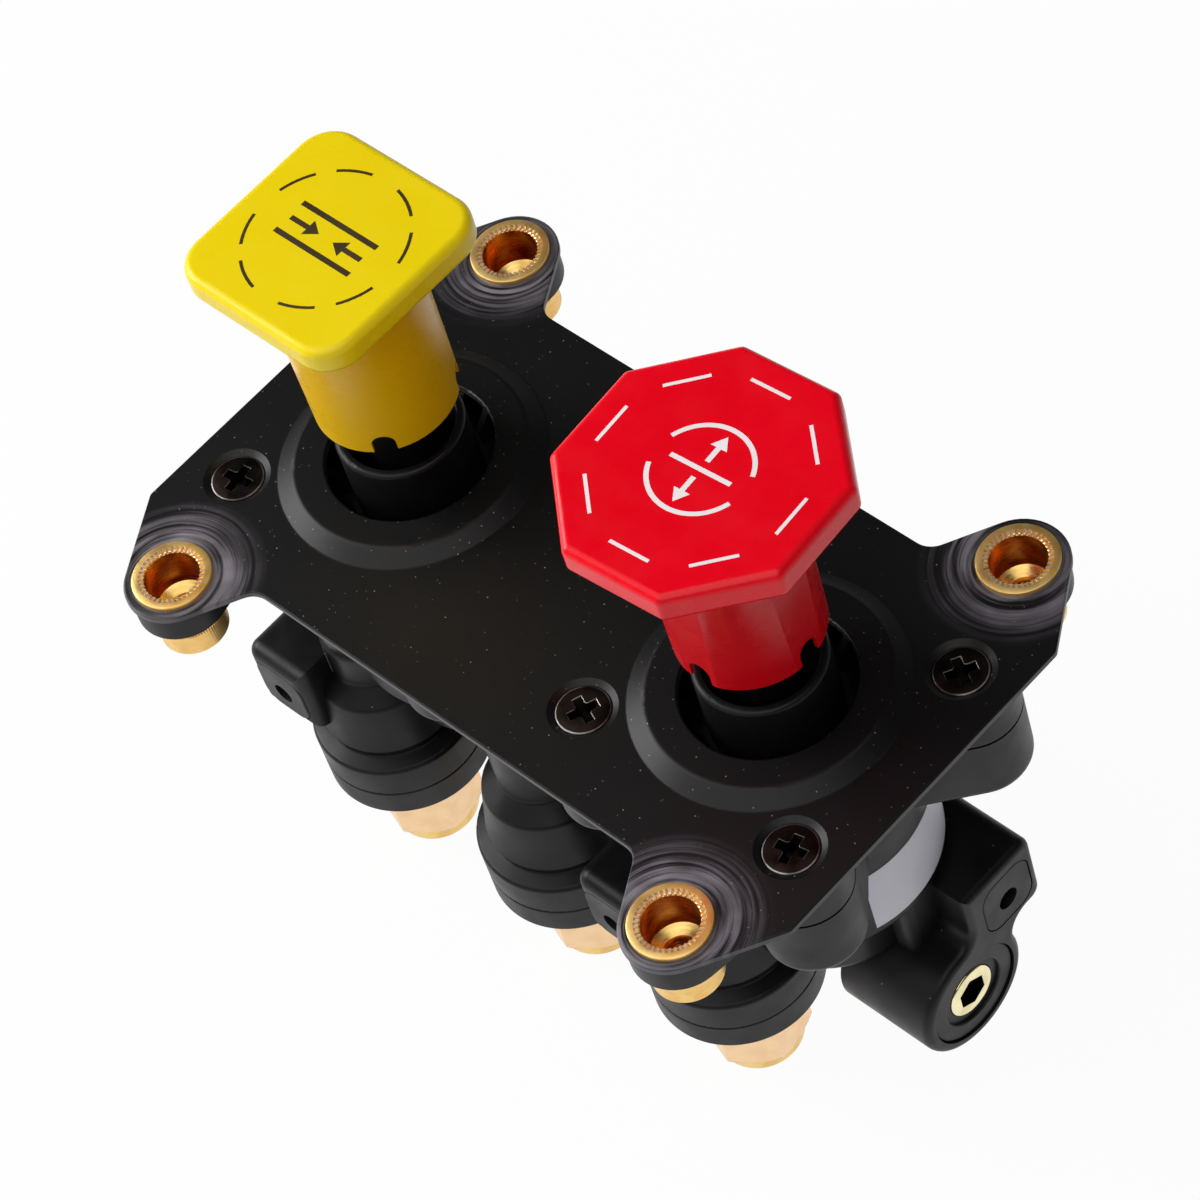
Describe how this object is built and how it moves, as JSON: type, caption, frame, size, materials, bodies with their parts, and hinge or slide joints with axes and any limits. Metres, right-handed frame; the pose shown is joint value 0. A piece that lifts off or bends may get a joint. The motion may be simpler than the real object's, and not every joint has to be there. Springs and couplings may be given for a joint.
{
  "type": "air brake dash control valve",
  "caption": "Dash-mounted air brake control valve: cover plate with mounting inserts, moulded housing with brass ports, and push-pull square and octagonal knobs.",
  "frame": {"origin": "centre of the four-insert mounting pattern, on the cover plate's top face", "axes": "+X along the plate from the square knob to the octagonal one, +Z out of the plate along the knobs"},
  "size_m": [0.1464, 0.0996, 0.1581],
  "materials": {
    "satin_black_steel": "satin, with fine dust",
    "black_screw": "worn black oxide",
    "black_moulding": "matte moulded plastic",
    "gasket_rubber": "matte",
    "seal_rubber": "matte",
    "insert_brass": "turned, satin",
    "port_brass": "milled, satin",
    "pale_gold_plating": "plated, satin",
    "pale_label": "plain printed film",
    "yellow_knob": "semi-gloss moulded plastic",
    "red_knob": "semi-gloss moulded plastic",
    "black_stem": "smooth",
    "spring_steel": "bright"
  },
  "bodies": {
    "housing": {"cover_plate": "satin_black_steel", "cover_screws": "black_screw", "upper_housing": "black_moulding", "lower_housing": "black_moulding", "housing_gasket": "gasket_rubber", "label_band": "pale_label", "check_valve_cap": "black_moulding", "check_valve_plug": "pale_gold_plating", "check_valve_seat": "port_brass", "insert_front_left": "insert_brass", "insert_front_right": "insert_brass", "insert_rear_left": "insert_brass", "insert_rear_right": "insert_brass", "port_cap_1": "black_moulding", "port_fitting_1": "port_brass", "port_seal_1": "seal_rubber", "port_cap_2": "black_moulding", "port_fitting_2": "port_brass", "port_seal_2": "seal_rubber", "port_cap_3": "black_moulding", "port_fitting_3": "port_brass", "port_seal_3": "seal_rubber", "port_cap_4": "black_moulding", "port_fitting_4": "port_brass", "port_seal_4": "seal_rubber", "port_cap_5": "black_moulding", "port_fitting_5": "port_brass", "port_seal_5": "seal_rubber", "vent_cap_left": "black_moulding", "vent_cap_middle": "black_moulding", "vent_cap_right": "black_moulding", "parking_stem_seal": "seal_rubber", "parking_seal_retainer": "spring_steel", "trailer_stem_seal": "seal_rubber", "trailer_seal_retainer": "spring_steel"},
    "parking_carrier": {"parking_spring_seat": "spring_steel", "parking_return_spring": "spring_steel"},
    "parking_button": {"parking_knob": "yellow_knob", "parking_plunger": "black_stem", "parking_piston_seal": "seal_rubber", "parking_valve_disc": "seal_rubber", "parking_disc_screw": "spring_steel"},
    "trailer_carrier": {"trailer_spring_seat": "spring_steel", "trailer_return_spring": "spring_steel"},
    "trailer_button": {"trailer_knob": "red_knob", "trailer_plunger": "black_stem", "trailer_piston_seal": "seal_rubber", "trailer_valve_disc": "seal_rubber", "trailer_disc_screw": "spring_steel"},
    "check_shuttle": {"check_valve_shuttle": "seal_rubber"}
  },
  "joints": [
    {"name": "parking_slide", "type": "slide", "parent": "housing", "child": "parking_carrier", "axis": [0, 0, 1], "range_m": [-0.0127, 0], "stiffness_N_per_m": 1500, "springref_m": 0.01, "deforming": ["parking_return_spring"]},
    {"name": "parking_swivel", "type": "hinge", "parent": "parking_carrier", "child": "parking_button", "pos_m": [-0.04064, 0, 0], "axis": [0, 0, 1], "continuous": true},
    {"name": "trailer_slide", "type": "slide", "parent": "housing", "child": "trailer_carrier", "axis": [0, 0, 1], "range_m": [-0.0127, 0], "stiffness_N_per_m": 1500, "springref_m": 0.01, "deforming": ["trailer_return_spring"]},
    {"name": "trailer_swivel", "type": "hinge", "parent": "trailer_carrier", "child": "trailer_button", "pos_m": [0.04064, 0, 0], "axis": [0, 0, 1], "continuous": true},
    {"name": "check_valve_slide", "type": "slide", "parent": "housing", "child": "check_shuttle", "axis": [1, 0, 0], "range_m": [-0.0018, 0.0018]}
  ]
}
